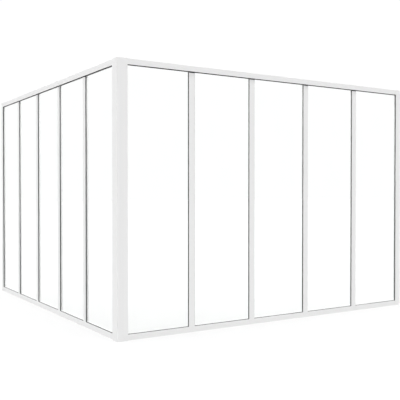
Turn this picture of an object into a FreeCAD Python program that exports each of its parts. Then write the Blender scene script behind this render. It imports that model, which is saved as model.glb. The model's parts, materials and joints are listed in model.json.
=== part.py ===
import FreeCAD, Part
import math
import os
from FreeCAD import Vector

# Glazed aluminium partition wall: two wings of five panes that meet at a square corner post
# Lengths are in millimetres. The origin is the middle of the corner post's foot, on the floor.
# The right wing runs along +X and the left wing along +Y; both look outwards, away from the room.

# The wall as a whole
wall_height = 2400.0
bays_per_wing = 5
bay_clear = 614.5          # sight width of one pane, between the frame members
frame_depth = 40.0         # depth of rails and mullions, from the outer to the inner face

# Corner post
post_side = 100.0
post_wall = 3.0
post_corner_radius = 2.5
post_inner_radius = 1.0
post_stand_out = 12.5      # how far the post stands proud of the wings' outer faces
cap_thickness = 2.5
cap_skirt_height = 12.0
cap_skirt_wall = 2.0
foot_plate_thickness = 6.0
anchor_spacing = 40.0
anchor_hole_radius = 4.5

# Rails, mullions and end jambs
rail_face = 50.0
mullion_face = 61.0
jamb_face = 67.0
jamb_stand_out = 3.0       # the end jambs are a little deeper than the wing, on both sides
profile_wall = 2.0
profile_edge_radius = 0.6
jamb_plug_thickness = 4.0
wall_fixings = 4           # screw holes up each end jamb
wall_fixing_radius = 4.5
wall_fixing_access = 16.0  # side of the punched hole that lets the screw head through
wall_fixing_from_end = 150.0

# Glazing rebate: the pocket that holds a pane's edge
rebate_height = 18.0       # from the pocket's floor to the sight line
leg_thickness = 1.8        # outer leg of rails and mullions
glass_setback = 8.0        # outer face of the frame to the glass
glass_thickness = 8.0
glass_gap = 5.0            # edge of the glass to the pocket's floor, filled by the setting blocks
glass_arris = 0.8
block_length = 80.0
block_depth = 11.0

# Gasket groove behind the outer leg
rib_height = 2.6
rib_width = 1.2
groove_width = 4.0

# Gaskets
upright_gasket_sight = 3.0   # rubber that shows beyond the edges of post, mullions and jambs
level_gasket_sight = 1.8     # and beyond the edges of the rails
gasket_foot_clearance = 0.2
gasket_above_edge = 2.0    # from the edge of the glass up to the rubber's heel
gasket_heel_width = 2.2    # from the rubber's heel to the groove that holds its foot
inner_gasket_thickness = 4.0
inner_gasket_sight = 1.6

# Glazing beads on the room side: square ones on the rails, bevelled ones on the uprights
bead_wall = 1.4
bead_nose = 2.6            # flat on top of the bead, next to the glass
bead_heel = 6.0            # height of the bevelled bead at the inner face of the frame
bead_clearance = 0.2
bead_groove_depth = 2.2
bead_groove_width = 3.2
bead_groove_from_inner_face = 8.0

# Screw flutes inside rails and mullions: two ribs that take self-cutting screws between them
flute_gap = 3.6
flute_rib = 1.6
flute_depth = 5.0

# Movement joint between the head rail and the front of each mullion, closed by a rubber pad
head_joint = 8.0
pad_setback = 1.0

plug_clearance = 0.2

# Places that follow from the sizes above
post_half = post_side / 2.0
wing_face_y = -post_half + post_stand_out
glass_back = glass_setback + glass_thickness
glass_middle = glass_setback + glass_thickness / 2.0
bead_front = glass_back + inner_gasket_thickness
rib_top = leg_thickness + rib_height
bead_groove_start = frame_depth - bead_groove_from_inner_face
rail_floor = rail_face - rebate_height
mullion_half_body = mullion_face / 2.0 - rebate_height
jamb_body = jamb_face - rebate_height
jamb_back = frame_depth + jamb_stand_out
bay_pitch = bay_clear + mullion_face
gasket_heel = glass_gap + gasket_above_edge
groove_low = gasket_heel + gasket_heel_width
groove_high = groove_low + groove_width
head_floor_z = wall_height - rail_floor
head_sight_z = wall_height - rail_face
wing_sight_end = post_half + bays_per_wing * bay_clear + (bays_per_wing - 1) * mullion_face
jamb_floor_x = wing_sight_end + rebate_height
wing_end = wing_sight_end + jamb_face
joint_low_z = head_sight_z - head_joint
mitre_reach = rebate_height + 2.0 * upright_gasket_sight     # further up than any rubber strip
across_wing = post_side + frame_depth                # deeper than a wing, for cuts that pass right through

# Mirrors: the other side of a member, and the other wing
middle = Vector(0, 0, 0)
across_member = Vector(1, 0, 0)
across_corner = Vector(1, -1, 0)


# Flat outlines
def outline(corners):
    """Closed wire through corners (a, b), each rounded where it is given as (a, b, radius)."""
    points = [Vector(corner[0], corner[1], 0) for corner in corners]
    stretches = []
    for i, here in enumerate(points):
        radius = corners[i][2] if len(corners[i]) > 2 else 0.0
        if not radius:
            stretches.append((here, here))
            continue
        before = (points[i - 1] - here).normalize()
        after = (points[(i + 1) % len(points)] - here).normalize()
        half_angle = before.getAngle(after) / 2.0
        run = radius / math.tan(half_angle)
        crown = here + (before + after).normalize() * (radius / math.sin(half_angle) - radius)
        stretches.append((here + before * run, crown, here + after * run))
    edges = []
    for i, stretch in enumerate(stretches):
        if len(stretch) == 3:
            edges.append(Part.Arc(*stretch).toShape())
        reach = stretches[(i + 1) % len(stretches)][0]
        edges.append(Part.LineSegment(stretch[-1], reach).toShape())
    return Part.Wire(edges)


def flat_face(corners):
    return Part.Face(outline(corners))


def rectangle(a_low, a_high, b_low, b_high, radius=0.0):
    return flat_face([(a_low, b_low, radius), (a_high, b_low, radius),
                      (a_high, b_high, radius), (a_low, b_high, radius)])


def turned_over(shape, mirror_normal=across_member):
    return shape.mirror(middle, mirror_normal)


def on_both_sides(face, distance):
    """A face moved out from the middle by a distance, and its mirror image."""
    right = face.copy()
    right.translate(Vector(distance, 0, 0))
    return right, turned_over(right)


# Solids
def extrude_merged(section, run):
    """Extrude every region of a section and melt them into one solid."""
    solids = [face.extrude(run) for face in section.Faces]
    if len(solids) == 1:
        return solids[0]
    return solids[0].multiFuse(solids[1:]).removeSplitter().Solids[0]


def upright(section, x, y, z_low, z_high):
    """Stand a section up between two heights."""
    shape = section.copy()
    shape.translate(Vector(x, y, z_low))
    return extrude_merged(shape, Vector(0, 0, z_high - z_low))


def level(section, z, y, x_low, x_high):
    """Lay a section along the right wing, with its first axis turned up and its second one inwards."""
    shape = section.copy()
    shape.rotate(middle, Vector(0, 1, 0), -90)
    shape.translate(Vector(x_low, y, z))
    return extrude_merged(shape, Vector(x_high - x_low, 0, 0))


def wing_block(x_low, x_high, t_low, t_high, z_low, z_high):
    """Box in the right wing; t is the depth behind the wing's outer face."""
    return Part.makeBox(x_high - x_low, t_high - t_low, z_high - z_low,
                        Vector(x_low, wing_face_y + t_low, z_low))


# Sections are drawn with a = height above the pocket's floor and b = depth behind the wing's face
def leg_with_groove(front, thickness):
    """Outer leg with the two ribs that hold the gasket's foot."""
    back = front + thickness
    leg = flat_face([(-profile_wall, front), (rebate_height, front, profile_edge_radius),
                     (rebate_height, back), (-profile_wall, back)])
    for rib in (groove_low - rib_width, groove_high):
        leg = leg.fuse(rectangle(rib, rib + rib_width, back - profile_edge_radius, back + rib_height))
    return leg


def bead_groove(growth):
    """Groove in the pocket's floor that holds the bead's tongue, grown to make its surrounding wall."""
    return rectangle(-bead_groove_depth - growth, profile_edge_radius,
                     bead_groove_start - growth, bead_groove_start + bead_groove_width + growth)


def with_screw_flutes(section, a_middle):
    """Pairs of ribs on the inside of the outer and the inner wall, rooted halfway into the wall."""
    root = profile_wall / 2.0
    tip = profile_wall + flute_depth
    for low, high in ((root, tip), (frame_depth - tip, frame_depth - root)):
        for a in (a_middle - flute_gap / 2.0 - flute_rib, a_middle + flute_gap / 2.0):
            section = section.fuse(rectangle(a, a + flute_rib, low, high))
    return section


def rail_section():
    """Tube with one glazing leg and one bead groove, on the side of the glass."""
    body = flat_face([(-rail_floor, 0, profile_edge_radius), (0, 0), (0, frame_depth, profile_edge_radius),
                      (-rail_floor, frame_depth, profile_edge_radius)])
    void = rectangle(-rail_floor + profile_wall, -profile_wall, profile_wall, frame_depth - profile_wall)
    section = body.cut(void.cut(bead_groove(profile_wall)))
    section = section.fuse(leg_with_groove(0.0, leg_thickness)).cut(bead_groove(0.0))
    return with_screw_flutes(section, -rail_floor / 2.0)


def mullion_section():
    """Tube with a glazing leg and a bead groove on each side, centred on a = 0."""
    half = mullion_half_body
    section = rectangle(-half, half, 0, frame_depth)
    void = rectangle(-half + profile_wall, half - profile_wall, profile_wall, frame_depth - profile_wall)
    for wall in on_both_sides(bead_groove(profile_wall), half):
        void = void.cut(wall)
    section = section.cut(void)
    for leg in on_both_sides(leg_with_groove(0.0, leg_thickness), half):
        section = section.fuse(leg)
    for groove in on_both_sides(bead_groove(0.0), half):
        section = section.cut(groove)
    return with_screw_flutes(section, 0.0)


def jamb_section():
    """Deeper tube whose leg is as thick as it stands out, so that the rails run in behind it."""
    body = flat_face([(-jamb_body, -jamb_stand_out, profile_edge_radius), (0, -jamb_stand_out),
                      (0, jamb_back, profile_edge_radius), (-jamb_body, jamb_back, profile_edge_radius)])
    void = rectangle(-jamb_body + profile_wall, -profile_wall,
                     -jamb_stand_out + profile_wall, jamb_back - profile_wall)
    section = body.cut(void.cut(bead_groove(profile_wall)))
    return section.fuse(leg_with_groove(-jamb_stand_out, jamb_stand_out)).cut(bead_groove(0.0))


def outer_gasket_section(leg_back, sight):
    """Rubber between a leg and the glass: a foot in the groove and a sloping lip that shows."""
    gap = gasket_foot_clearance
    heel = leg_back + rib_height
    past_rib = groove_high + rib_width + gap
    return flat_face([(gasket_heel, glass_setback), (gasket_heel, heel),
                      (groove_low + gap, heel), (groove_low + gap, leg_back + gap),
                      (groove_high - gap, leg_back + gap), (groove_high - gap, heel),
                      (past_rib, heel), (past_rib, leg_back), (rebate_height, leg_back),
                      (rebate_height + sight, glass_setback)])


def post_gasket_section():
    """Rubber between the post's channel and the outside of the glass."""
    return flat_face([(gasket_heel, glass_setback), (gasket_heel, rib_top), (rebate_height, rib_top),
                      (rebate_height + upright_gasket_sight, glass_setback)])


def inner_gasket_section():
    """Wedge pressed in between the glass and the bead."""
    return flat_face([(gasket_heel, glass_back), (rebate_height + inner_gasket_sight, glass_back),
                      (rebate_height, bead_front), (gasket_heel, bead_front)])


def bead_section(heel):
    """Hollow bead with a tongue that snaps into the groove in the pocket's floor."""
    skin = flat_face([(0, bead_front), (rebate_height, bead_front), (rebate_height, bead_front + bead_nose),
                      (heel, frame_depth), (0, frame_depth)])
    tongue = rectangle(-bead_groove_depth + bead_clearance, bead_wall, bead_groove_start + bead_clearance,
                       bead_groove_start + bead_groove_width - bead_clearance)
    return skin.cut(skin.makeOffset2D(-bead_wall)).fuse(tongue)


# Corner post with its cap and foot plate
def post_channel(growth):
    """Slot in the post's +X side that holds the first pane's edge, grown to make its wall."""
    return rectangle(post_half - rebate_height - growth, post_half + growth,
                     wing_face_y + rib_top - growth, wing_face_y + bead_front + growth)


def post_outline():
    return rectangle(-post_half, post_half, -post_half, post_half, post_corner_radius)


def less_channels(face, growth):
    """Take the channels of both wings out of a face of the post."""
    channel = post_channel(growth)
    return face.cut(channel).cut(turned_over(channel, across_corner))


def post_void(clearance):
    """Hollow of the post's tube, made smaller all round by a clearance."""
    inner = post_half - post_wall - clearance
    hollow = rectangle(-inner, inner, -inner, inner, post_inner_radius)
    return less_channels(hollow, profile_wall + clearance).Faces[0]


def make_corner_post():
    section = less_channels(post_outline().cut(post_void(0.0)), 0.0)
    return upright(section, 0, 0, 0, wall_height - cap_thickness)


def make_post_cap():
    under = wall_height - cap_thickness
    plate = upright(post_outline(), 0, 0, under, wall_height)
    rim = [edge for edge in plate.Edges if edge.BoundBox.ZMin > wall_height - profile_edge_radius]
    plug = post_void(plug_clearance)
    skirt = plug.cut(plug.makeOffset2D(-cap_skirt_wall))
    plate = plate.makeChamfer(profile_edge_radius, rim)
    return plate.fuse(upright(skirt, 0, 0, under - cap_skirt_height, under))


def make_post_foot_plate():
    plate = upright(post_void(plug_clearance), 0, 0, 0, foot_plate_thickness)
    for x in (-anchor_spacing / 2.0, anchor_spacing / 2.0):
        for y in (-anchor_spacing / 2.0, anchor_spacing / 2.0):
            plate = plate.cut(Part.makeCylinder(anchor_hole_radius, foot_plate_thickness, Vector(x, y, 0)))
    return plate


# Members of the right wing
def pocket_floors(bay):
    """The two upright pocket floors between which a pane stands; bay 0 is next to the post."""
    left = post_half + bay * bay_pitch - rebate_height
    return left, left + bay_clear + 2.0 * rebate_height


def make_bottom_rail(section):
    return level(section, rail_floor, wing_face_y, post_half, jamb_floor_x)


def make_top_rail(section):
    return level(turned_over(section), head_floor_z, wing_face_y, post_half, jamb_floor_x)


def make_mullion(section, number):
    """Let in between the rails' pocket floors, with its front cut back behind their legs and the joint."""
    x = post_half + number * bay_pitch - mullion_face / 2.0
    mullion = upright(section, x, wing_face_y, rail_floor, head_floor_z)
    cut_back = rib_top + bead_clearance
    for low, high in ((rail_floor, rail_face), (joint_low_z, head_floor_z)):
        mullion = mullion.cut(wing_block(x - mullion_face, x + mullion_face, 0, cut_back, low, high))
    return mullion


def make_head_pads():
    """Rubber pads squeezed in between the head rail's leg and the front of each mullion."""
    pads = []
    for number in range(1, bays_per_wing):
        right = post_half + number * bay_pitch
        pads.append(wing_block(right - mullion_face, right, pad_setback, rib_top, joint_low_z, head_sight_z))
    return pads


def make_end_jamb(section):
    """Full height, with its ribs cut away where the rails run in, and drilled for the wall fixings."""
    jamb = upright(turned_over(section), jamb_floor_x, wing_face_y, 0, wall_height)
    for low, high in ((0, rail_face), (head_sight_z, wall_height)):
        jamb = jamb.cut(wing_block(wing_sight_end, jamb_floor_x, 0, frame_depth, low, high))
    drilled = profile_wall + bead_clearance
    half_access = wall_fixing_access / 2.0
    for number in range(wall_fixings):
        step = (wall_height - 2.0 * wall_fixing_from_end) / (wall_fixings - 1)
        z = wall_fixing_from_end + number * step
        start = Vector(wing_end - drilled, wing_face_y + glass_middle, z)
        jamb = jamb.cut(Part.makeCylinder(wall_fixing_radius, drilled, start, Vector(1, 0, 0)))
        jamb = jamb.cut(wing_block(jamb_floor_x, jamb_floor_x + drilled, glass_middle - half_access,
                                   glass_middle + half_access, z - half_access, z + half_access))
    return jamb


def make_jamb_plug():
    """Push-in plug that closes the end jamb's hollow top, notched for the bead groove's wall."""
    low = wall_height - jamb_plug_thickness
    wall = profile_wall + plug_clearance
    plug = wing_block(jamb_floor_x + wall, wing_end - wall, -jamb_stand_out + wall, jamb_back - wall,
                      low, wall_height)
    notch = wing_block(jamb_floor_x, jamb_floor_x + bead_groove_depth + wall, bead_groove_start - wall,
                       bead_groove_start + bead_groove_width + wall, low, wall_height)
    return plug.cut(notch)


# Strips round one pane: gaskets mitred in the corners, and beads that butt there
def mitred_space(seat, inward, low, high, is_level):
    """Space for the strip on one side of a pane, with its ends cut back at 45 degrees.

    seat is the pocket floor that the strip stands on, inward is +1 or -1, the way from there to the
    pane's middle, and low and high are the pocket floors that the strip runs between.
    """
    corners = [(seat - inward * bead_groove_depth, low), (seat, low),
               (seat + inward * mitre_reach, low + mitre_reach),
               (seat + inward * mitre_reach, high - mitre_reach),
               (seat, high), (seat - inward * bead_groove_depth, high)]
    if is_level:
        corners = [(along, away) for away, along in corners]
    points = [Vector(x, -post_side, z) for x, z in corners]
    face = Part.Face(Part.makePolygon(points + points[:1]))
    return face.extrude(Vector(0, post_side + across_wing, 0))


def upright_strip(section, bay, at_left):
    left, right = pocket_floors(bay)
    if at_left:
        strip = upright(section, left, wing_face_y, rail_floor, head_floor_z)
        return strip.common(mitred_space(left, 1, rail_floor, head_floor_z, is_level=False))
    strip = upright(turned_over(section), right, wing_face_y, rail_floor, head_floor_z)
    return strip.common(mitred_space(right, -1, rail_floor, head_floor_z, is_level=False))


def level_strip(section, bay, at_sill):
    left, right = pocket_floors(bay)
    if at_sill:
        strip = level(section, rail_floor, wing_face_y, left, right)
        return strip.common(mitred_space(rail_floor, 1, left, right, is_level=True))
    strip = level(turned_over(section), head_floor_z, wing_face_y, left, right)
    return strip.common(mitred_space(head_floor_z, -1, left, right, is_level=True))


def outer_gasket_upright(bay, at_left):
    """Rubber up one side of a pane; its foot stops at the rails' legs or at the head joint."""
    if at_left and bay == 0:
        return upright_strip(post_gasket_section(), bay, at_left)
    at_jamb = not at_left and bay == bays_per_wing - 1
    leg_back = 0.0 if at_jamb else leg_thickness
    strip = upright_strip(outer_gasket_section(leg_back, upright_gasket_sight), bay, at_left)
    left, right = pocket_floors(bay)
    leg_low = left if at_left else right - rebate_height
    leg_high = leg_low + rebate_height
    foot_top = head_sight_z if at_jamb else joint_low_z
    for low, high in ((rail_floor, rail_face), (foot_top, head_floor_z)):
        strip = strip.cut(wing_block(leg_low, leg_high, -jamb_stand_out, rib_top, low, high))
    return strip


def outer_gasket_level(bay, at_sill):
    """Rubber along the sill or the head of a pane; its foot stops where the upright legs begin."""
    strip = level_strip(outer_gasket_section(leg_thickness, level_gasket_sight), bay, at_sill)
    left, right = pocket_floors(bay)
    for low, high in ((left, left + rebate_height), (right - rebate_height, right)):
        strip = strip.cut(wing_block(low, high, -jamb_stand_out, rib_top, 0, wall_height))
    return strip


def level_bead(section, bay, at_sill):
    """Bead along the whole of the sill or the head; beside the post it stops at the post's face."""
    left, right = pocket_floors(bay)
    start = max(left, post_half)
    if at_sill:
        return level(section, rail_floor, wing_face_y, start, right)
    return level(turned_over(section), head_floor_z, wing_face_y, start, right)


def upright_bead(section, bay, at_left):
    """Bead that stands between the level ones."""
    left, right = pocket_floors(bay)
    if at_left:
        return upright(section, left, wing_face_y, rail_face, head_sight_z)
    return upright(turned_over(section), right, wing_face_y, rail_face, head_sight_z)


def make_pane(bay):
    left, right = pocket_floors(bay)
    pane = wing_block(left + glass_gap, right - glass_gap, glass_setback, glass_back,
                      rail_floor + glass_gap, head_floor_z - glass_gap)
    return pane.makeChamfer(glass_arris, pane.Edges)


def make_setting_blocks(bay):
    """Two packers that carry the pane in the sill's pocket, at its quarter points."""
    left, right = pocket_floors(bay)
    quarter = (right - left) / 4.0
    packers = []
    for x in (left + quarter, right - quarter):
        packers.append(wing_block(x - block_length / 2.0, x + block_length / 2.0,
                                  glass_middle - block_depth / 2.0, glass_middle + block_depth / 2.0,
                                  rail_floor, rail_floor + glass_gap))
    return packers


# One wing as a dictionary of node names and shapes
def make_wing():
    bays = range(bays_per_wing)
    rail = rail_section()
    mullion = mullion_section()
    wedge = inner_gasket_section()
    square_bead = bead_section(rebate_height)
    bevelled_bead = bead_section(bead_heel)
    ends = [(bay, first) for bay in bays for first in (True, False)]
    bead_sides = [(bay, at_left) for bay, at_left in ends if bay > 0 or not at_left]
    pieces = {"bottom_rail": make_bottom_rail(rail), "top_rail": make_top_rail(rail),
              "end_jamb": make_end_jamb(jamb_section()), "jamb_plug": make_jamb_plug()}
    for number in range(1, bays_per_wing):
        pieces[f"mullion_{number}"] = make_mullion(mullion, number)
    pieces["head_pads"] = make_head_pads()
    for bay in bays:
        pieces[f"pane_{bay + 1}"] = make_pane(bay)
    pieces["outer_gaskets_upright"] = [outer_gasket_upright(bay, at_left) for bay, at_left in ends]
    pieces["outer_gaskets_level"] = [outer_gasket_level(bay, at_sill) for bay, at_sill in ends]
    pieces["inner_gaskets_upright"] = [upright_strip(wedge, bay, at_left) for bay, at_left in ends]
    pieces["inner_gaskets_level"] = [level_strip(wedge, bay, at_sill) for bay, at_sill in ends]
    pieces["upright_beads"] = [upright_bead(bevelled_bead, bay, at_left) for bay, at_left in bead_sides]
    pieces["level_beads"] = [level_bead(square_bead, bay, at_sill) for bay, at_sill in ends]
    pieces["setting_blocks"] = [packer for bay in bays for packer in make_setting_blocks(bay)]
    return pieces


def as_shape(piece):
    return Part.makeCompound(piece) if isinstance(piece, list) else piece


def export(name, shape):
    volume = sum(solid.Volume for solid in shape.Solids)
    print(f"{name:32s} {len(shape.Solids):3d} solids {volume / 1000.0:10.1f} cm3 valid {shape.isValid()}")
    shape.exportStep(f"parts/{name}.step")


os.makedirs("parts", exist_ok=True)
export("corner_post", make_corner_post())
export("post_cap", make_post_cap())
export("post_foot_plate", make_post_foot_plate())
for name, piece in make_wing().items():
    right_piece = as_shape(piece)
    export(f"right_{name}", right_piece)
    export(f"left_{name}", turned_over(right_piece, across_corner))
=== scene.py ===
# %% [markdown]
# # Dressing a glazed partition wall
# The wall is L-shaped: a square corner post and two wings of five glass panes. Its metal, glass and
# packers come packed at their real size, in metres, with +Z up and the origin on the floor under the
# middle of the post. The right wing runs along +X and faces -Y, and the left wing mirrors it across the
# upright plane x = y. This lesson gives every piece its finish, models the rubbers, the glazing beads, the
# head pads and the plugs with the rounds that the eye meets, and lights it all as a white thing in a
# white room.

# %% Load the fixed frame
import json
import math
import bpy
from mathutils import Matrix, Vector


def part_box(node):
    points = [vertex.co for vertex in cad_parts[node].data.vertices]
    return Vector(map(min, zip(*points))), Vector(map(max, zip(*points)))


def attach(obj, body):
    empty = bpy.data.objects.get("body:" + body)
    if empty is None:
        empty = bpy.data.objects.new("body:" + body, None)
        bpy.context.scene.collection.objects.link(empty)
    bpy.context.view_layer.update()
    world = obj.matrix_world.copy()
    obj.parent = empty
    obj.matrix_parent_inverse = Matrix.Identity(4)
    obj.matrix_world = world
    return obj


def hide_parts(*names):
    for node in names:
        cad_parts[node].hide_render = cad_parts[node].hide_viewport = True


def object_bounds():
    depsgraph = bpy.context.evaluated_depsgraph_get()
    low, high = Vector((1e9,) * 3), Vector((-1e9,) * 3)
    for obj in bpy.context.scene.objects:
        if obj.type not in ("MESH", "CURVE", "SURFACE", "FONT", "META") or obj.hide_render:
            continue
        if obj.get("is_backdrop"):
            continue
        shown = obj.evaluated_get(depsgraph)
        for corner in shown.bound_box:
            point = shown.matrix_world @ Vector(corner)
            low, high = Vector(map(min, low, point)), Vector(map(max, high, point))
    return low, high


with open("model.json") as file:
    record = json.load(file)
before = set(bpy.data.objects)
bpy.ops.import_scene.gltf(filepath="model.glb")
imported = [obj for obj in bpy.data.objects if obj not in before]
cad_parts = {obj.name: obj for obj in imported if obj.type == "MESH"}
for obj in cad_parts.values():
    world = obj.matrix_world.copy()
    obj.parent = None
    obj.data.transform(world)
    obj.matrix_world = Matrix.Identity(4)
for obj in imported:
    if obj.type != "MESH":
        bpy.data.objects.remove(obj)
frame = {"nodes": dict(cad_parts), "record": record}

cad_low, cad_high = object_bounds()
print("frame nodes:", len(frame["nodes"]), "size:", tuple(round(v, 4) for v in cad_high - cad_low))

# %% [markdown]
# The camera comes first, because it decides what has to look right. The wall's straight edges give its
# place: not quite six metres off the corner, a little over half the wall's height, turned 32 degrees from
# a square look at the right wing and tipped down by less than one degree. The lens is given as a focal
# length on a 36 mm sensor. No shift is needed, since the view is centred.

# %% Camera
EYE = Vector((-2.4327, -5.1190, 1.2703))
TURN = math.radians(32.32)
TIP = math.radians(0.735)
SENSOR_MM = 36.0
FRAME_PIXELS = 400
FOCAL_PIXELS = 661.4

gaze = Vector((math.sin(TURN) * math.cos(TIP), math.cos(TURN) * math.cos(TIP), -math.sin(TIP)))
bpy.ops.object.camera_add(location=EYE, rotation=gaze.to_track_quat("-Z", "Y").to_euler())
camera = bpy.context.object
camera.data.sensor_width = SENSOR_MM
camera.data.lens = SENSOR_MM * FOCAL_PIXELS / FRAME_PIXELS
bpy.context.scene.camera = camera
print("lens:", round(camera.data.lens, 2), "mm")

# %% [markdown]
# The floor is one large pale square. It reaches far past the wall, so that its edge is lost in the white
# of the room.

# %% Floor
FLOOR_SIDE = 160.0
bpy.ops.mesh.primitive_plane_add(size=FLOOR_SIDE)
floor = bpy.context.object
floor.name = "floor"
floor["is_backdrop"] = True
print("floor side:", FLOOR_SIDE, "m")

# %% [markdown]
# White on white works when the light comes from everywhere but not evenly. Here most of it falls from
# above: upright faces come out a little under full white, the undersides of the head rails drop to grey,
# and that is what draws the wall. The room's light is a gradient by height, dim under the horizon and
# bright over it. Looked at directly, or through a pane, the room is just white and no brighter: a
# background many times brighter than white would eat into the thin dark lines in front of it. The Light
# Path node tells the two apart: its diffuse depth is nought on the way to the room that is seen, and one
# or more for light that a matt surface gathers, through a pane too. The view transform is Standard,
# because the filmic ones never let white reach full white.

# %% Room light
LIGHT_FROM_BELOW = 0.05
HORIZON_LIGHT = 1.89
OVERHEAD_LIGHT = 2.23
HORIZON_BAND = 0.04
SEEN_WHITE = 1.02

world = bpy.data.worlds.new("white_room")
bpy.context.scene.world = world
world.use_nodes = True
nodes, links = world.node_tree.nodes, world.node_tree.links
nodes.clear()
place = nodes.new("ShaderNodeTexCoord")
axes = nodes.new("ShaderNodeSeparateXYZ")
climb = nodes.new("ShaderNodeMapRange")
climb.inputs["To Min"].default_value = HORIZON_LIGHT
climb.inputs["To Max"].default_value = OVERHEAD_LIGHT
horizon = nodes.new("ShaderNodeMapRange")
horizon.inputs["From Min"].default_value = -HORIZON_BAND
horizon.inputs["From Max"].default_value = 0.0
horizon.inputs["To Min"].default_value = LIGHT_FROM_BELOW
shade = nodes.new("ShaderNodeBackground")
shade.inputs["Color"].default_value = (1.0, 1.0, 1.0, 1.0)
out = nodes.new("ShaderNodeOutputWorld")
links.new(place.outputs["Generated"], axes.inputs[0])
links.new(axes.outputs["Z"], climb.inputs["Value"])
links.new(axes.outputs["Z"], horizon.inputs["Value"])
links.new(climb.outputs[0], horizon.inputs["To Max"])
ray = nodes.new("ShaderNodeLightPath")
seen_or_lit = nodes.new("ShaderNodeMix")
seen_or_lit.inputs["A"].default_value = SEEN_WHITE
links.new(ray.outputs["Diffuse Depth"], seen_or_lit.inputs["Factor"])
links.new(horizon.outputs[0], seen_or_lit.inputs["B"])
links.new(seen_or_lit.outputs["Result"], shade.inputs["Strength"])
links.new(shade.outputs[0], out.inputs["Surface"])
bpy.context.scene.view_settings.view_transform = "Standard"
print("room light:", LIGHT_FROM_BELOW, "below,", HORIZON_LIGHT, "to", OVERHEAD_LIGHT, "above")

# %% [markdown]
# A white floor would throw the light back up and fill the undersides again. So the floor is hidden from
# the diffuse rays that leave the wall: they see the dim lower half of the room instead. One large soft
# lamp on the left lifts the left wing above the right one.

# %% Floor bounce and soft lamp
LAMP_SIDE = 5.0
LAMP_POWER = 27.0
LAMP_PLACE = Vector((-7.0, 1.5, 3.5))
LAMP_AIM = Vector((0.0, 1.7, 1.2))

floor.visible_diffuse = False
bpy.ops.object.light_add(type="AREA", location=LAMP_PLACE,
                         rotation=(LAMP_AIM - LAMP_PLACE).to_track_quat("-Z", "Y").to_euler())
lamp = bpy.context.object
lamp.data.shape = "SQUARE"
lamp.data.size = LAMP_SIDE
lamp.data.energy = LAMP_POWER
print("lamp distance:", round((LAMP_AIM - LAMP_PLACE).length, 2), "m")

# %% [markdown]
# Every finish is a small node graph that starts from a Principled shader. They all read object
# coordinates, so a pattern keeps its real size in metres and stays on the piece from any side. The helpers
# make the frame of such a graph, a noise, a value squeezed into a range, a product, a blend of two colours
# and a relief. The last two go on from what their socket already reads, so they can be used in turn.

# %% Helpers for finishes
NOISE_LOW = 0.3
NOISE_HIGH = 0.7


def new_finish(name, roughness, colour):
    """A material with one Principled shader and object coordinates; returns its parts."""
    material = bpy.data.materials.new(name)
    material.use_nodes = True
    tree = material.node_tree
    shader = tree.nodes["Principled BSDF"]
    shader.inputs["Roughness"].default_value = roughness
    shader.inputs["Base Color"].default_value = (*colour, 1.0)
    place = tree.nodes.new("ShaderNodeTexCoord").outputs["Object"]
    return material, tree, shader, place


def noise(tree, place, size, detail=3.0):
    """Noise whose features are about `size` metres across."""
    node = tree.nodes.new("ShaderNodeTexNoise")
    node.inputs["Scale"].default_value = 1.0 / size
    node.inputs["Detail"].default_value = detail
    tree.links.new(place, node.inputs["Vector"])
    return node.outputs["Fac"]


def squeeze(tree, value, low, high, from_low=NOISE_LOW, from_high=NOISE_HIGH):
    """Map a value, or else the middle of a noise, to the range low to high."""
    node = tree.nodes.new("ShaderNodeMapRange")
    node.inputs["From Min"].default_value = from_low
    node.inputs["From Max"].default_value = from_high
    node.inputs["To Min"].default_value = low
    node.inputs["To Max"].default_value = high
    tree.links.new(value, node.inputs["Value"])
    return node.outputs[0]


def product(tree, first, second):
    """Two values multiplied."""
    node = tree.nodes.new("ShaderNodeMath")
    node.operation = "MULTIPLY"
    tree.links.new(first, node.inputs[0])
    tree.links.new(second, node.inputs[1])
    return node.outputs[0]


def blend_colours(tree, value, first, second, socket):
    """Colour a socket from the first colour, or what it reads, to the second as the value goes to 1."""
    node = tree.nodes.new("ShaderNodeMix")
    node.data_type = "RGBA"
    node.inputs["A"].default_value = (*first, 1.0)
    node.inputs["B"].default_value = (*second, 1.0)
    if socket.is_linked:
        tree.links.new(socket.links[0].from_socket, node.inputs["A"])
    tree.links.new(value, node.inputs["Factor"])
    tree.links.new(node.outputs["Result"], socket)


def relief(tree, value, height, shader):
    """Bump of a given height in metres, on top of what the shader's normal already reads."""
    node = tree.nodes.new("ShaderNodeBump")
    node.inputs["Strength"].default_value = 1.0
    node.inputs["Distance"].default_value = height
    tree.links.new(value, node.inputs["Height"])
    normal = shader.inputs["Normal"]
    if normal.is_linked:
        tree.links.new(normal.links[0].from_socket, node.inputs["Normal"])
    tree.links.new(node.outputs["Normal"], normal)


# %% [markdown]
# Powder coat is plastic powder baked on to the metal. Close up it has the dimples of orange peel, a
# millimetre or two across and a few hundredths deep, and its sheen wanders slowly over a long member. Near
# the floor it takes on a trace of dust. All of that stays faint, because the wall is new and clean. Only
# the mullions carry painted shade: a soft grey under the black pad in the head joint, darkest at the pad,
# fading out in about 5 cm where the head shades them. So the coat is made again for them, with that
# painted shade on the outer face alone. The outer faces of both wings lie at the same distance, one in Y
# and one in X, so the smaller of the two coordinates tells them. The beads take a whiter copy of the
# coat, painted light against their shade behind the glass: they vanish in the white, the frame does not.

# %% White powder coat
MM = 0.001
COAT_WHITE = (0.765, 0.765, 0.765)
COAT_DUSTY = (0.725, 0.722, 0.715)
# Grey of the painted shade below the head pads.
COAT_PAINTED_SHADE = (0.62, 0.62, 0.62)
# Whiter than the frame's coat: painted light for the beads behind the glass.
BEAD_PAINTED_LIGHT_WHITE = (0.90, 0.90, 0.90)
SHEEN_PATCH = 350.0 * MM
DUST_PATCH = 30.0 * MM
DUST_REACH = 60.0 * MM
DUST_SHARE = 0.55
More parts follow.
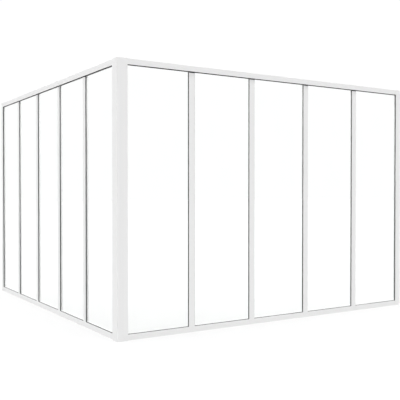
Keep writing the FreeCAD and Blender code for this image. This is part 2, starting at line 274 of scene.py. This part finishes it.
# How far below the pads the painted shade reaches, and how thin a layer counts as the outer face.
PAINTED_SHADE_REACH = 75.0 * MM
PAINTED_SHADE_FACE_DEPTH = 2.0 * MM
PEEL_SIZE = 1.4 * MM
PEEL_DEPTH = 0.03 * MM


def powder(name, white=COAT_WHITE, shade_edge_point=None):
    """Satin white coat; given the point of the head pad's lower edge on the outer face, it paints shade
    below it.
    """
    material, tree, shader, place = new_finish(name, roughness=0.42, colour=white)
    sheen = squeeze(tree, noise(tree, place, SHEEN_PATCH), low=0.36, high=0.48)
    tree.links.new(sheen, shader.inputs["Roughness"])
    spot = tree.nodes.new("ShaderNodeSeparateXYZ")
    tree.links.new(place, spot.inputs[0])
    near_floor = squeeze(tree, spot.outputs["Z"], DUST_SHARE, 0.0, from_low=0.0, from_high=DUST_REACH)
    dust_patches = squeeze(tree, noise(tree, place, DUST_PATCH, detail=6.0), low=0.0, high=1.0)
    dust = product(tree, near_floor, dust_patches)
    blend_colours(tree, dust, white, COAT_DUSTY, shader.inputs["Base Color"])
    # Painted shade: the outer face of a mullion turns grey towards the head pad, darkest just under it.
    if shade_edge_point is not None:
        across = tree.nodes.new("ShaderNodeMath")
        across.operation = "MINIMUM"
        tree.links.new(spot.outputs["X"], across.inputs[0])
        tree.links.new(spot.outputs["Y"], across.inputs[1])
        outside = squeeze(tree, across.outputs[0], 1.0, 0.0, shade_edge_point.y, shade_edge_point.y + PAINTED_SHADE_FACE_DEPTH)
        shade_fade_below_pad = squeeze(tree, spot.outputs["Z"], 0.0, 1.0, shade_edge_point.z - PAINTED_SHADE_REACH, shade_edge_point.z)
        painted_shade_mask = product(tree, product(tree, shade_fade_below_pad, shade_fade_below_pad), outside)
        blend_colours(tree, painted_shade_mask, white, COAT_PAINTED_SHADE, shader.inputs["Base Color"])
    relief(tree, noise(tree, place, PEEL_SIZE, detail=1.0), PEEL_DEPTH, shader)
    return material


pad_corner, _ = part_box("right_head_pads")
mullion_corner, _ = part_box("right_mullion_1")
powder_coat = powder("white_powder_coat")
# The mullions' coat, with painted shade below the head pads.
painted_shade_coat = powder("painted_shade_powder_coat", shade_edge_point=Vector((0.0, mullion_corner.y, pad_corner.z)))
# A whiter copy of the coat for the beads, as painted light against their shade behind the glass.
bead_painted_light_coat = powder("bead_powder_coat", BEAD_PAINTED_LIGHT_WHITE)
print("finishes:", powder_coat.name, painted_shade_coat.name, bead_painted_light_coat.name)

# %% [markdown]
# The panes are clear toughened glass. A closed sheet with a refractive shader bends and mirrors as real
# glass does. Toughening leaves a roller wave, a ripple every 30 cm or so that only shows in what the pane
# mirrors, and hands leave a thin bloom that dulls the polish in patches. A wave texture of scale 1 repeats
# every 0.314 m, which sets the scale that the ripple needs. Lamps have to reach through the panes, which a
# refracting sheet would stop, so the panes cast no shadow.

# %% Clear glass
GLASS_TINT = (0.985, 0.995, 0.990)
GLASS_BLOOM = (0.975, 0.985, 0.980)
GLASS_IOR = 1.5
BLOOM_PATCH = 250.0 * MM
ROLLER_PITCH = 0.30
ROLLER_DEPTH = 0.04 * MM
WAVE_REPEAT = 0.314

clear_glass, tree, shader, place = new_finish("clear_glass", roughness=0.0, colour=GLASS_TINT)
shader.inputs["Transmission Weight"].default_value = 1.0
shader.inputs["IOR"].default_value = GLASS_IOR
bloom = noise(tree, place, BLOOM_PATCH, detail=5.0)
tree.links.new(squeeze(tree, bloom, low=0.0, high=0.025), shader.inputs["Roughness"])
blend_colours(tree, squeeze(tree, bloom, 0.0, 1.0), GLASS_TINT, GLASS_BLOOM, shader.inputs["Base Color"])
roller_wave = tree.nodes.new("ShaderNodeTexWave")
roller_wave.bands_direction = "Z"
roller_wave.inputs["Scale"].default_value = WAVE_REPEAT / ROLLER_PITCH
roller_wave.inputs["Distortion"].default_value = 0.6
tree.links.new(place, roller_wave.inputs["Vector"])
relief(tree, roller_wave.outputs["Fac"], ROLLER_DEPTH, shader)
print("finish:", clear_glass.name)

# %% [markdown]
# Two rubbers hold the glass. The outer one is black and matt, with a grain from the die it was pushed
# through and a greyish bloom. The wedge on the room side is the same rubber in off-white.

# %% Rubbers
RUBBER_BLOOM = 20.0 * MM
RUBBER_WEAR = 6.0 * MM
RUBBER_GRAIN = 0.5 * MM
RUBBER_GRAIN_DEPTH = 0.02 * MM
RUBBER_SHINE = 0.15


def rubber(name, dark, pale):
    """Matt extruded rubber that varies from a dark to a pale tone."""
    material, tree, shader, place = new_finish(name, roughness=0.6, colour=dark)
    tone = squeeze(tree, noise(tree, place, RUBBER_BLOOM, detail=5.0), low=0.0, high=1.0)
    blend_colours(tree, tone, dark, pale, shader.inputs["Base Color"])
    wear = squeeze(tree, noise(tree, place, RUBBER_WEAR, detail=4.0), low=0.5, high=0.7)
    tree.links.new(wear, shader.inputs["Roughness"])
    relief(tree, noise(tree, place, RUBBER_GRAIN, detail=2.0), RUBBER_GRAIN_DEPTH, shader)
    shader.inputs["Specular IOR Level"].default_value = RUBBER_SHINE
    return material


black_rubber = rubber("black_rubber", dark=(0.012, 0.012, 0.013), pale=(0.024, 0.024, 0.025))
white_rubber = rubber("white_rubber", dark=(0.84, 0.84, 0.835), pale=(0.88, 0.88, 0.875))
print("finishes:", black_rubber.name, white_rubber.name)

# %% [markdown]
# The moulded plastics carry the fine spark texture of their mould. The packers under the glass are grey,
# and the plugs that close the end jambs are white.

# %% Moulded plastics
PLASTIC_FLOW = 12.0 * MM
PLASTIC_WEAR = 10.0 * MM
SPARK_SIZE = 0.4 * MM
SPARK_DEPTH = 0.015 * MM


def moulded_plastic(name, dark, pale):
    """Plastic with spark texture, a little glossier where it was touched."""
    material, tree, shader, place = new_finish(name, roughness=0.4, colour=dark)
    tone = squeeze(tree, noise(tree, place, PLASTIC_FLOW), low=0.0, high=1.0)
    blend_colours(tree, tone, dark, pale, shader.inputs["Base Color"])
    wear = squeeze(tree, noise(tree, place, PLASTIC_WEAR, detail=2.0), low=0.34, high=0.5)
    tree.links.new(wear, shader.inputs["Roughness"])
    relief(tree, noise(tree, place, SPARK_SIZE, detail=1.0), SPARK_DEPTH, shader)
    return material


white_plastic = moulded_plastic("white_plastic", dark=(0.72, 0.72, 0.71), pale=(0.76, 0.76, 0.755))
packer_plastic = moulded_plastic("packer_plastic", dark=(0.05, 0.055, 0.065), pale=(0.07, 0.075, 0.085))
print("finishes:", white_plastic.name, packer_plastic.name)

# %% [markdown]
# The foot plate inside the post is zinc-plated steel. Zinc freezes into spangles a few millimetres wide,
# which a cell pattern gives, each with its own grey and its own gloss.

# %% Zinc-plated steel
ZINC_DARK = (0.42, 0.43, 0.45)
ZINC_PALE = (0.62, 0.63, 0.65)
SPANGLE_SIZE = 4.0 * MM
SPANGLE_DEPTH = 0.01 * MM

zinc_steel, tree, shader, place = new_finish("zinc_plated_steel", roughness=0.4, colour=ZINC_DARK)
shader.inputs["Metallic"].default_value = 1.0
spangle = tree.nodes.new("ShaderNodeTexVoronoi")
spangle.inputs["Scale"].default_value = 1.0 / SPANGLE_SIZE
tree.links.new(place, spangle.inputs["Vector"])
tones = tree.nodes.new("ShaderNodeSeparateColor")
tree.links.new(spangle.outputs["Color"], tones.inputs[0])
blend_colours(tree, tones.outputs["Red"], ZINC_DARK, ZINC_PALE, shader.inputs["Base Color"])
gloss = squeeze(tree, tones.outputs["Green"], low=0.3, high=0.5, from_low=0.0, from_high=1.0)
tree.links.new(gloss, shader.inputs["Roughness"])
relief(tree, spangle.outputs["Distance"], SPANGLE_DEPTH, shader)
print("finish:", zinc_steel.name)

# %% [markdown]
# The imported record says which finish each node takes, so one loop hands them all out. Assigning to an
# object's material slots leaves its mesh as it is.

# %% Hand out the finishes
FINISHES = {"white_frame": powder_coat, "clear_glass": clear_glass, "black_rubber": black_rubber,
            "white_rubber": white_rubber, "white_plastic": white_plastic, "packer_plastic": packer_plastic,
            "plated_steel": zinc_steel}


def finish(piece, slot_name):
    """Give a piece the finish of one of the record's material slots."""
    piece.data.materials.clear()
    piece.data.materials.append(FINISHES[slot_name])


for subpart in frame["record"]["subparts"]:
    node = frame["nodes"][subpart["node"]]
    finish(node, subpart["material_slot"])
    # Mullions take the coat with painted shade below the head pads.
    if "mullion" in subpart["node"]:
        node.data.materials[0] = painted_shade_coat
    if subpart["material_slot"] == "clear_glass":
        node.visible_shadow = False

# %% [markdown]
# Nothing about the bays is typed in again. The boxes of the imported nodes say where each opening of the
# right wing begins and ends, how far apart the bays are, and how deep in the frame the glass stands.

# %% Openings and depths of the right wing
BAYS = 5
_, post_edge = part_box("corner_post")
first_mullion, first_mullion_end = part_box("right_mullion_1")
second_mullion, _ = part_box("right_mullion_2")
_, sill_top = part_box("right_bottom_rail")
head_under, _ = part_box("right_top_rail")
glass_low, glass_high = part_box("right_pane_1")
last_jamb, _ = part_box("right_end_jamb")

wing_face = first_mullion.y
wing_back = first_mullion_end.y
bay_pitch = second_mullion.x - first_mullion.x
sight_low = Vector((post_edge.x, 0.0, sill_top.z))
sight_high = Vector((first_mullion.x, 0.0, head_under.z))
sight_middle = (sight_low + sight_high) / 2.0
glass_out, glass_in = glass_low.y, glass_high.y
print("bay pitch:", round(bay_pitch, 4), "opening:", tuple(round(v, 4) for v in sight_high - sight_low),
      "glass:", round(glass_out, 4), "to", round(glass_in, 4))

# %% [markdown]
# The rubber round each pane is one closed ring that the eye meets as a thin black line. Drawn by hand it is
# a few moves in edit mode, and so it is here, with operators. They act on whatever is selected, so the
# first helpers start a box alone in the selection and pick corners, edges or faces by their place and
# normal. A direction counts as along an axis when its share of that axis is over ALONG, and as across it
# when the share is under ACROSS.

# %% Helpers for modelling
NEAR = 0.05 * MM
ALONG = 0.9
ACROSS = 0.1
ROUND_STEPS = 3
SMOOTH_ANGLE = math.radians(35.0)


def start_box(name, low, high):
    """A cube stretched between two corners, with its origin at the wall's own origin."""
    bpy.ops.object.select_all(action="DESELECT")
    low, high = Vector(low), Vector(high)
    bpy.ops.mesh.primitive_cube_add(size=1.0, location=(low + high) / 2.0, scale=high - low)
    piece = bpy.context.object
    piece.name = piece.data.name = name
    bpy.ops.object.transform_apply(location=True, rotation=False, scale=True)
    return piece


def pick(piece, kind, test):
    """Go to edit mode with only those elements selected whose middle and direction pass the test."""
    bpy.ops.object.mode_set(mode="EDIT")
    bpy.ops.mesh.select_mode(type=kind)
    bpy.ops.mesh.select_all(action="DESELECT")
    bpy.ops.object.mode_set(mode="OBJECT")
    mesh = piece.data
    if kind == "EDGE":
        for edge in mesh.edges:
            first, second = (mesh.vertices[i].co for i in edge.vertices)
            edge.select = test((first + second) / 2.0, (second - first).normalized())
    elif kind == "FACE":
        for face in mesh.polygons:
            face.select = test(face.center, face.normal)
    else:
        for corner in mesh.vertices:
            corner.select = test(corner.co, corner.normal)
    bpy.ops.object.mode_set(mode="EDIT")


def leave_smooth(piece):
    """Leave edit mode with outward normals, and smooth shading over the gentle edges."""
    bpy.ops.mesh.select_all(action="SELECT")
    bpy.ops.mesh.normals_make_consistent(inside=False)
    bpy.ops.object.mode_set(mode="OBJECT")
    bpy.ops.object.shade_smooth_by_angle(angle=SMOOTH_ANGLE)


# %% [markdown]
# The outer ring is pressed in behind the frame's leg, lies on the glass and ends in a sloping lip. It
# starts as a box as large as the opening and a little more. The front is inset twice, to the edge of the
# leg and to the lip's end, the back once, and bridging the two inner faces makes the hole. The lip is
# pulled down to the glass. At the head it hangs lower, where the photo's dark line is strongest, and on the
# sill it stands lower, where that line is weakest. The rim that the leg hides leans back to the top of the
# rib behind it, and the lip's nose is rounded.

# %% One outer ring
HIDDEN = 1.2 * MM
LIP = 5.4 * MM
SILL_LIP = 3.8 * MM
HEAD_LIP = 7.0 * MM
NOSE = 0.9 * MM
NOSE_ROUND = 0.35 * MM
LEG = 1.8 * MM
RIB_TOP = 4.4 * MM


def inner_face(place, normal):
    """Whether a face lies in the middle of the opening, so that bridging makes the hole from it."""
    return (abs(place.x - sight_middle.x) < NEAR and abs(place.z - sight_middle.z) < NEAR
            and abs(normal.y) > ALONG)


def outer_ring(name):
    """Black ring for the opening beside the post, in its place."""
    rim = Vector((HIDDEN, 0.0, HIDDEN))
    front, back = wing_face + LEG, glass_out
    ring = start_box(name, sight_low - rim + Vector((0, front, 0)), sight_high + rim + Vector((0, back, 0)))
    pick(ring, "FACE", lambda place, normal: normal.y < -ALONG)
    bpy.ops.mesh.inset(thickness=HIDDEN)
    bpy.ops.mesh.inset(thickness=LIP)
    bpy.ops.transform.translate(value=(0.0, back - front - NOSE, 0.0))
    pick(ring, "FACE", lambda place, normal: normal.y > ALONG)
    bpy.ops.mesh.inset(thickness=HIDDEN + LIP)
    pick(ring, "FACE", inner_face)
    bpy.ops.mesh.bridge_edge_loops()
    head_inner, sill_inner = sight_high.z - LIP, sight_low.z + LIP
    pick(ring, "VERT", lambda place, normal: abs(place.z - head_inner) < NEAR)
    bpy.ops.transform.translate(value=(0.0, 0.0, LIP - HEAD_LIP))
    pick(ring, "VERT", lambda place, normal: abs(place.z - sill_inner) < NEAR)
    bpy.ops.transform.translate(value=(0.0, 0.0, SILL_LIP - LIP))
    beyond = HIDDEN / 2.0
    pick(ring, "VERT", lambda place, normal: place.y < front + NEAR and not (
        sight_low.x - beyond < place.x < sight_high.x + beyond
        and sight_low.z - beyond < place.z < sight_high.z + beyond))
    bpy.ops.transform.translate(value=(0.0, RIB_TOP - LEG, 0.0))
    nose_y = back - NOSE
    pick(ring, "EDGE", lambda place, way: abs(place.y - nose_y) < NEAR and abs(way.y) < ACROSS)
    bpy.ops.mesh.bevel(offset=NOSE_ROUND, segments=ROUND_STEPS, affect="EDGES")
    leave_smooth(ring)
    return ring


first_ring = outer_ring("ring_1")
print("ring faces:", len(first_ring.data.polygons))

# %% [markdown]
# What repeats along a wing is modelled once and copied, one bay pitch apart, each copy with its own mesh.
# A wing's copies are joined into one piece, and that piece is mirrored for the other wing: flipped over in
# Y and then turned a quarter, which swaps X and Y. A flip turns a mesh inside out, so its normals are made
# outward again.

# %% Helpers for copies
def copied(piece, name, shift=(0.0, 0.0, 0.0)):
    """A copy with its own mesh, moved along, alone in the selection."""
    bpy.ops.object.select_all(action="DESELECT")
    piece.select_set(True)
    bpy.context.view_layer.objects.active = piece
    bpy.ops.object.duplicate()
    twin = bpy.context.object
    twin.name = twin.data.name = name
    bpy.ops.transform.translate(value=shift)
    bpy.ops.object.transform_apply(location=True, rotation=False, scale=False)
    return twin


def row_of(first, count):
    """The first piece and its copies, one bay pitch apart."""
    return [first] + [copied(first, f"{first.name}_{number}", (number * bay_pitch, 0.0, 0.0))
                      for number in range(1, count)]


def joined(pieces, name):
    """Several pieces as one mesh."""
    bpy.ops.object.select_all(action="DESELECT")
    for piece in pieces:
        piece.select_set(True)
    bpy.context.view_layer.objects.active = pieces[0]
    bpy.ops.object.join()
    whole = bpy.context.object
    whole.name = whole.data.name = name
    return whole


def mirrored_to_left(piece):
    """The left wing's twin of a right wing's piece."""
    twin = copied(piece, piece.name.replace("right_", "left_", 1))
    twin.scale = (1.0, -1.0, 1.0)
    twin.rotation_euler = (0.0, 0.0, math.pi / 2.0)
    bpy.ops.object.transform_apply(location=False, rotation=True, scale=True)
    bpy.ops.object.mode_set(mode="EDIT")
    bpy.ops.mesh.select_all(action="SELECT")
    bpy.ops.mesh.normals_make_consistent(inside=False)
    bpy.ops.object.mode_set(mode="OBJECT")
    return twin


# %% [markdown]
# Beside the post and the mullions the rings fit as they are. The end jamb's leg is thicker and stands
# further out, so in the last ring one cut near that side fences it off, and its front edge comes forward
# to meet the leg.

# %% Outer rings of both wings
JAMB_FENCE = 5.0 * MM

rings = row_of(first_ring, BAYS)
jamb_sight = last_jamb.x
leg_back = wing_face + LEG
last_ring = rings[-1]
pick(last_ring, "FACE", lambda place, normal: True)
bpy.ops.mesh.bisect(plane_co=(jamb_sight - JAMB_FENCE, 0.0, 0.0), plane_no=(1.0, 0.0, 0.0))
pick(last_ring, "VERT", lambda place, normal: place.x > jamb_sight - NEAR and place.y < leg_back + NEAR)
bpy.ops.transform.translate(value=(0.0, -LEG, 0.0))
leave_smooth(last_ring)
right_rings = joined(rings, "right_glazing_rubber")
left_rings = mirrored_to_left(right_rings)
print("rubber:", len(right_rings.data.polygons), "faces a wing")

# %% [markdown]
# On the room side an off-white wedge is rolled in between the glass and the bead. It is the same kind of
# ring, without the slope in front: it is widest on the glass, where its lip just shows, and the bead holds
# its back. A hair of air stays between it and the glass. Touching faces would trap the light in the pane
# and go dark.

# %% Inner rings of both wings
WEDGE_LIP = 1.6 * MM
WEDGE_ROUND = 0.4 * MM
AIR = 0.2 * MM
_, wedge_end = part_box("right_inner_gaskets_upright")


def inner_ring(name):
    """Off-white wedge ring for the opening beside the post, in its place."""
    rim = Vector((HIDDEN, 0.0, HIDDEN))
    front, back = glass_in + AIR, wedge_end.y
    ring = start_box(name, sight_low - rim + Vector((0, front, 0)), sight_high + rim + Vector((0, back, 0)))
    pick(ring, "FACE", lambda place, normal: normal.y < -ALONG)
    bpy.ops.mesh.inset(thickness=HIDDEN + WEDGE_LIP)
    pick(ring, "FACE", lambda place, normal: normal.y > ALONG)
    bpy.ops.mesh.inset(thickness=HIDDEN)
    pick(ring, "FACE", inner_face)
    bpy.ops.mesh.bridge_edge_loops()
    lip_low, lip_high = sight_low.x + WEDGE_LIP - NEAR, sight_high.x - WEDGE_LIP + NEAR
    pick(ring, "EDGE", lambda place, way: place.y < front + NEAR and abs(way.y) < ACROSS
         and lip_low < place.x < lip_high and sight_low.z < place.z < sight_high.z)
    bpy.ops.mesh.bevel(offset=WEDGE_ROUND, segments=ROUND_STEPS, affect="EDGES")
    leave_smooth(ring)
    return ring


right_wedges = joined(row_of(inner_ring("wedge_1"), BAYS), "right_glazing_wedge")
left_wedges = mirrored_to_left(right_wedges)
print("wedges:", len(right_wedges.data.polygons), "faces a wing")

# %% [markdown]
# The glazing beads clip in last and are what the hand meets on the room side. An extruded arris is never
# razor sharp: it is broken by half a millimetre, and that fine round catches the light along the whole
# bead. The level beads are square bars. The upright ones start as bars too, and one slanting cut takes
# their inner corner off. Their ends are broken as well, which leaves a hairline where two beads meet. The
# post holds the first pane in a channel of its own, so no upright bead stands beside it.

# %% Glazing beads of both wings
REBATE = 18.0 * MM
BEAD_NOSE = 2.6 * MM
BEAD_HEEL = 6.0 * MM
ARRIS = 0.5 * MM
bead_low, bead_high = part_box("right_level_beads")
bead_front = bead_low.y


def soften(bar):
    """Break every edge of a bar and leave it smooth."""
    pick(bar, "EDGE", lambda place, way: True)
    bpy.ops.mesh.bevel(offset=ARRIS, segments=ROUND_STEPS, affect="EDGES")
    leave_smooth(bar)
    return bar


def level_bead(name, start, end, low, high):
    """Square bar along a sill or a head."""
    return soften(start_box(name, (start, bead_front, low), (end, wing_back, high)))


def upright_bead(name, seat, inward):
    """Bar on an upright pocket floor; inward is +1 or -1, the way to the middle of the pane."""
    edge = seat + inward * REBATE
    bar = start_box(name, (min(seat, edge), bead_front, sight_low.z),
                    (max(seat, edge), wing_back, sight_high.z))
    pick(bar, "FACE", lambda place, normal: True)
    run = wing_back - bead_front - BEAD_NOSE
    fall = REBATE - BEAD_HEEL
    bpy.ops.mesh.bisect(plane_co=(edge, bead_front + BEAD_NOSE, 0.0), plane_no=(inward * run, fall, 0.0),
                        use_fill=True, clear_outer=True)
    return soften(bar)


first_seat, last_seat = sight_low.x - REBATE, sight_high.x + REBATE
level_bars, upright_bars = [], []
for bay in range(BAYS):
    shift = bay * bay_pitch
    start = max(first_seat + shift, sight_low.x)
    for rail, low, high in (("sill", bead_low.z, sight_low.z), ("head", sight_high.z, bead_high.z)):
        level_bars.append(level_bead(f"{rail}_bead_{bay}", start, last_seat + shift, low, high))
    upright_bars.append(upright_bead(f"upright_bead_{bay}_right", last_seat + shift, -1))
    if bay > 0:
        upright_bars.append(upright_bead(f"upright_bead_{bay}_left", first_seat + shift, 1))
right_level_bars = joined(level_bars, "right_level_glazing_beads")
right_upright_bars = joined(upright_bars, "right_upright_glazing_beads")
left_level_bars = mirrored_to_left(right_level_bars)
left_upright_bars = mirrored_to_left(right_upright_bars)
print("beads:", len(level_bars), "level and", len(upright_bars), "upright a wing")

# %% [markdown]
# Over each mullion the head rail has a movement joint, closed by a rubber pad: the short dark band in the
# photo. The pad fills the joint and a thin lip hangs from it over the mullion's top edge, so that the joint
# stays shut when the head moves up. It starts as the lip alone. One cut at the joint's lower side splits
# its back, and the upper half of the back is extruded into the joint. The lip's front edges are rounded
# as moulded rubber is.

# %% Head pads of both wings
PAD_LAP = 4.0 * MM
PAD_PROUD = 0.6 * MM
pad_low, pad_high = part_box("right_head_pads")
pad_front = wing_face - PAD_PROUD
lip_end = pad_low.z - PAD_LAP

first_pad = start_box("pad_1", (first_mullion.x, pad_front, lip_end),
                      (first_mullion_end.x, wing_face, pad_high.z))
pick(first_pad, "FACE", lambda place, normal: True)
bpy.ops.mesh.bisect(plane_co=(0.0, 0.0, pad_low.z), plane_no=(0.0, 0.0, 1.0))
pick(first_pad, "FACE", lambda place, normal: normal.y > ALONG and place.z > pad_low.z)
bpy.ops.mesh.extrude_region_move(TRANSFORM_OT_translate={"value": (0.0, pad_high.y - wing_face, 0.0)})
pick(first_pad, "EDGE", lambda place, way: place.y < pad_front + NEAR
     and (abs(way.z) > ALONG or place.z < lip_end + NEAR))
bpy.ops.mesh.bevel(offset=NOSE_ROUND, segments=ROUND_STEPS, affect="EDGES")
leave_smooth(first_pad)
right_pads = joined(row_of(first_pad, BAYS - 1), "right_head_joint_pads")
left_pads = mirrored_to_left(right_pads)
print("pads:", BAYS - 1, "a wing,", len(right_pads.data.polygons), "faces")

# %% [markdown]
# The plug in the end jamb's top is moulded, so its upper rim is round. Its outline is already right in the
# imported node, so a copy of that mesh is merged, its coplanar triangles are dissolved, and the rim is
# bevelled.

# %% Jamb plugs
MERGE = 0.01 * MM
PLUG_ROUND = 0.6 * MM
FLAT_ANGLE = math.radians(1.0)


def moulded_plug(side):
    """Copy of a jamb plug with a rounded upper rim."""
    node = frame["nodes"][f"{side}_jamb_plug"]
    plug = bpy.data.objects.new(f"{side}_moulded_plug", node.data.copy())
    bpy.context.collection.objects.link(plug)
    bpy.ops.object.select_all(action="DESELECT")
    plug.select_set(True)
    bpy.context.view_layer.objects.active = plug
    pick(plug, "VERT", lambda place, normal: True)
    bpy.ops.mesh.remove_doubles(threshold=MERGE)
    bpy.ops.mesh.dissolve_limited(angle_limit=FLAT_ANGLE)
    top = cad_high.z - MERGE
    pick(plug, "EDGE", lambda place, way: place.z > top)
    bpy.ops.mesh.bevel(offset=PLUG_ROUND, segments=ROUND_STEPS, affect="EDGES")
    leave_smooth(plug)
    return plug


plugs = {side: moulded_plug(side) for side in ("right", "left")}
print("plug faces:", len(plugs["right"].data.polygons))

# %% [markdown]
# Each modelled piece takes the finish of what it stands for, rides with the wall, and hides its plain
# twin. The beads then get their own whiter coat, painted light that lifts them out of their shade.

# %% Put the modelled pieces in place
MODELLED = [(right_rings, "black_rubber", ("right_outer_gaskets_upright", "right_outer_gaskets_level")),
            (left_rings, "black_rubber", ("left_outer_gaskets_upright", "left_outer_gaskets_level")),
            (right_wedges, "white_rubber", ("right_inner_gaskets_upright", "right_inner_gaskets_level")),
            (left_wedges, "white_rubber", ("left_inner_gaskets_upright", "left_inner_gaskets_level")),
            (right_level_bars, "white_frame", ("right_level_beads",)),
            (left_level_bars, "white_frame", ("left_level_beads",)),
            (right_upright_bars, "white_frame", ("right_upright_beads",)),
            (left_upright_bars, "white_frame", ("left_upright_beads",)),
            (right_pads, "black_rubber", ("right_head_pads",)),
            (left_pads, "black_rubber", ("left_head_pads",)),
            (plugs["right"], "white_plastic", ("right_jamb_plug",)),
            (plugs["left"], "white_plastic", ("left_jamb_plug",))]
for piece, slot_name, nodes_replaced in MODELLED:
    finish(piece, slot_name)
    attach(piece, "root")
    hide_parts(*nodes_replaced)
# The whiter bead coat is painted light: it lifts the beads out of the shade behind the glass.
for bars in (right_level_bars, left_level_bars, right_upright_bars, left_upright_bars):
    bars.data.materials[0] = bead_painted_light_coat
print("modelled pieces:", len(MODELLED))

# %% [markdown]
# The floor is plain pale paint with a trace of unevenness. Most of its white is its own glow, so that the
# wall's foot leaves no grey stain on it. For the light that matt surfaces gather it isn't there at all,
# through a pane neither: beyond the first diffuse bounce its shader turns transparent.

# %% Floor finish
FLOOR_PALE = (0.15, 0.15, 0.15)
FLOOR_PALER = (0.16, 0.16, 0.16)
FLOOR_PATCH = 1.5
FLOOR_SHINE = 0.1
FLOOR_GLOW = 0.74

floor_paint, tree, shader, place = new_finish("pale_floor", roughness=0.9, colour=FLOOR_PALE)
unevenness = noise(tree, place, FLOOR_PATCH)
blend_colours(tree, unevenness, FLOOR_PALE, FLOOR_PALER, shader.inputs["Base Color"])
shader.inputs["Specular IOR Level"].default_value = FLOOR_SHINE
shader.inputs["Emission Color"].default_value = (1.0, 1.0, 1.0, 1.0)
shader.inputs["Emission Strength"].default_value = FLOOR_GLOW
gone = tree.nodes.new("ShaderNodeBsdfTransparent")
ray = tree.nodes.new("ShaderNodeLightPath")
seen_or_gone = tree.nodes.new("ShaderNodeMixShader")
surface = tree.nodes["Material Output"].inputs["Surface"]
tree.links.new(ray.outputs["Diffuse Depth"], seen_or_gone.inputs[0])
tree.links.new(shader.outputs[0], seen_or_gone.inputs[1])
tree.links.new(gone.outputs[0], seen_or_gone.inputs[2])
tree.links.new(seen_or_gone.outputs[0], surface)
floor.data.materials.append(floor_paint)
print("finish:", floor_paint.name)

# %% Sizes and finish
low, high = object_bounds()
print("dressed size:", tuple(round(v, 4) for v in high - low))
